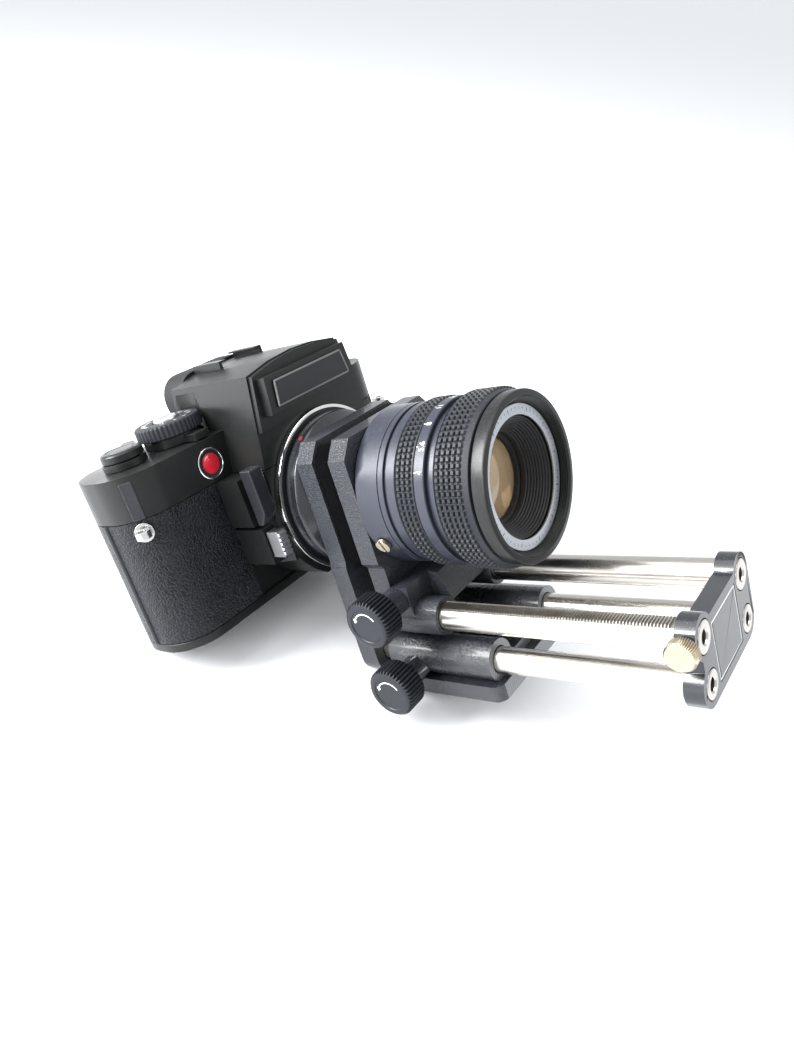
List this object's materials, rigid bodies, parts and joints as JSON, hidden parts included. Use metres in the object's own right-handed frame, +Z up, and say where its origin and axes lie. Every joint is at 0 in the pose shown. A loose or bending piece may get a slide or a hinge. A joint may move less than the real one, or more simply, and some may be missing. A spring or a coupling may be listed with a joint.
{
  "type": "camera with macro bellows",
  "caption": "Single-lens reflex film camera on a macro bellows with a focusing rail, a short bellows lens and a tripod carriage.",
  "frame": {"origin": "middle of the tripod face under the rail's carriage, between its two threads", "axes": "-Y is the way the lens looks, +X is the rewind end of the camera, +Z is up"},
  "size_m": [0.1404, 0.1969, 0.1289],
  "materials": {
    "cast_black": "matte",
    "black_paint": "satin",
    "wrinkle_paint": "matte",
    "satin_black": "satin",
    "black_plastic": "matte",
    "leather": "matte",
    "bellows_cloth": "matte",
    "rubber": "matte",
    "chrome": "polished",
    "steel": "satin",
    "aluminium": "satin",
    "brass": "satin",
    "red_enamel": "gloss",
    "glass": "polished",
    "mirror": "polished"
  },
  "bodies": {
    "carriage": {"carriage_block": "satin_black"},
    "lower_lock": {"lower_lock_knob": "black_plastic"},
    "rail_frame": {"upper_near_rod": "steel", "upper_far_rod": "steel", "lower_near_rod": "steel", "lower_far_rod": "steel", "front_end_plate": "black_paint", "end_plate_label": "aluminium", "rear_standard": "wrinkle_paint", "rear_adapter_ring": "satin_black", "bellows": "bellows_cloth"},
    "plate_screw": {"end_plate_thumbscrew": "brass"},
    "lens_carrier": {"front_standard": "wrinkle_paint", "lens_barrel": "satin_black", "locating_screw": "brass", "scale_ring": "black_paint", "front_rim": "black_paint", "silver_ring": "aluminium", "ribbed_baffle": "black_plastic", "front_lens_cell": "black_paint", "front_element": "glass", "iris": "black_plastic", "rear_lens_cell": "black_paint", "rear_element": "glass"},
    "upper_lock": {"upper_lock_knob": "black_plastic"},
    "focus_drive": {"focus_knob": "black_plastic"},
    "aperture_control": {"aperture_ring": "black_paint"},
    "preset_control": {"preset_ring": "black_paint"},
    "camera_body": {"chassis": "cast_black", "leather_near": "leather", "leather_far": "leather", "hinge_rod": "black_paint", "camera_base": "black_paint", "top_plate": "black_paint", "lens_mount_ring": "chrome", "accessory_shoe": "black_paint", "eyecup": "rubber", "front_nameplate": "black_plastic", "badge_disc": "red_enamel", "near_strap_lug": "chrome", "far_strap_lug": "chrome", "focusing_screen": "glass", "pentaprism": "glass", "shutter_curtain": "black_plastic"},
    "film_door": {"back_door": "cast_black", "pressure_plate": "steel"},
    "film_advance": {"advance_lever": "black_paint", "advance_cap": "black_paint"},
    "take_up": {"take_up_spool": "black_plastic"},
    "sprocket": {"film_sprocket": "black_plastic"},
    "speed_control": {"speed_dial": "black_paint"},
    "mode_control": {"mode_lever": "black_paint"},
    "release_button": {"shutter_button": "chrome"},
    "film_speed_control": {"film_speed_ring": "black_paint"},
    "rewind": {"rewind_knob": "black_paint"},
    "rewind_handle": {"rewind_crank": "steel"},
    "mount_release": {"release_slider": "chrome"},
    "preview_lever": {"depth_of_field_lever": "black_plastic"},
    "mirror_flap": {"reflex_mirror": "mirror"}
  },
  "joints": [
    {"name": "rail_slide", "type": "slide", "parent": "carriage", "child": "rail_frame", "axis": [0, 1, 0], "range_m": [-0.0037, 0.0615]},
    {"name": "front_standard_slide", "type": "slide", "parent": "rail_frame", "child": "lens_carrier", "axis": [0, -1, 0], "range_m": [0, 0.08], "deforming": ["bellows"]},
    {"name": "focus_knob_turn", "type": "hinge", "parent": "lens_carrier", "child": "focus_drive", "pos_m": [0.0335, 0.0117, 0.0376], "axis": [1, 0, 0], "range_deg": [-5, 1155]},
    {"name": "upper_lock_turn", "type": "hinge", "parent": "lens_carrier", "child": "upper_lock", "pos_m": [-0.0335, 0.0117, 0.0376], "axis": [-1, 0, 0], "range_deg": [0, 270]},
    {"name": "lower_lock_turn", "type": "hinge", "parent": "carriage", "child": "lower_lock", "pos_m": [-0.0335, 0.0117, 0.0099], "axis": [-1, 0, 0], "range_deg": [0, 270]},
    {"name": "thumbscrew_turn", "type": "hinge", "parent": "rail_frame", "child": "plate_screw", "pos_m": [-0.0258, -0.08935, 0.0285], "axis": [-1, 0, 0], "range_deg": [0, 720]},
    {"name": "aperture_ring_turn", "type": "hinge", "parent": "lens_carrier", "child": "aperture_control", "pos_m": [0, -0.0086, 0.072], "axis": [0, 1, 0], "range_deg": [0, 100]},
    {"name": "preset_ring_turn", "type": "hinge", "parent": "lens_carrier", "child": "preset_control", "pos_m": [0, -0.0274, 0.072], "axis": [0, 1, 0], "range_deg": [0, 100]},
    {"name": "camera_turn", "type": "hinge", "parent": "rail_frame", "child": "camera_body", "pos_m": [0, 0.0454, 0.072], "axis": [0, 1, 0], "range_deg": [0, 90]},
    {"name": "back_door_swing", "type": "hinge", "parent": "camera_body", "child": "film_door", "pos_m": [-0.0744, 0.0851, 0.072], "axis": [0, 0, 1], "range_deg": [0, 110]},
    {"name": "advance_lever_swing", "type": "hinge", "parent": "camera_body", "child": "film_advance", "pos_m": [-0.0588, 0.08355, 0.1076], "axis": [0, 0, 1], "range_deg": [0, 130], "stiffness_Nm_per_rad": 0.03, "springref_deg": -17.19},
    {"name": "take_up_turn", "type": "hinge", "parent": "camera_body", "child": "take_up", "pos_m": [-0.058, 0.08355, 0.072], "axis": [0, 0, 1], "range_deg": [-5, 310]},
    {"name": "sprocket_turn", "type": "hinge", "parent": "camera_body", "child": "sprocket", "pos_m": [-0.038, 0.08855, 0.072], "axis": [0, 0, 1], "range_deg": [-5, 365]},
    {"name": "speed_dial_turn", "type": "hinge", "parent": "camera_body", "child": "speed_control", "pos_m": [-0.0364, 0.08355, 0.1076], "axis": [0, 0, 1], "range_deg": [-140, 140]},
    {"name": "mode_lever_turn", "type": "hinge", "parent": "camera_body", "child": "mode_control", "pos_m": [-0.0364, 0.08355, 0.1076], "axis": [0, 0, 1], "range_deg": [-60, 15]},
    {"name": "shutter_button_press", "type": "slide", "parent": "camera_body", "child": "release_button", "axis": [0, 0, -1], "range_m": [0, 0.0015], "stiffness_N_per_m": 800, "springref_m": -0.0006},
    {"name": "film_speed_turn", "type": "hinge", "parent": "camera_body", "child": "film_speed_control", "pos_m": [0.0462, 0.08355, 0.1076], "axis": [0, 0, 1], "range_deg": [-120, 120]},
    {"name": "rewind_turn", "type": "hinge", "parent": "camera_body", "child": "rewind", "pos_m": [0.0462, 0.08355, 0.1076], "axis": [0, 0, 1], "continuous": true},
    {"name": "rewind_crank_fold", "type": "hinge", "parent": "rewind", "child": "rewind_handle", "pos_m": [0.0514, 0.08355, 0.1171], "axis": [0, 1, 0], "range_deg": [0, 180]},
    {"name": "release_slider_press", "type": "slide", "parent": "camera_body", "child": "mount_release", "axis": [0, 0, -1], "range_m": [0, 0.003], "stiffness_N_per_m": 400, "springref_m": -0.0008},
    {"name": "preview_lever_press", "type": "slide", "parent": "camera_body", "child": "preview_lever", "axis": [0, 1, 0], "range_m": [0, 0.002], "stiffness_N_per_m": 500, "springref_m": -0.0008},
    {"name": "mirror_flip", "type": "hinge", "parent": "camera_body", "child": "mirror_flap", "pos_m": [0, 0.0794, 0.088], "axis": [-1, 0, 0], "range_deg": [0, 45], "stiffness_Nm_per_rad": 0.004, "springref_deg": -17.19}
  ],
  "couplings": [
    {"joint": "focus_knob_turn", "follows": "front_standard_slide", "rad_per_m": 249.33},
    {"joint": "take_up_turn", "follows": "advance_lever_swing", "ratio": 2.3262},
    {"joint": "sprocket_turn", "follows": "advance_lever_swing", "ratio": 2.7692}
  ]
}
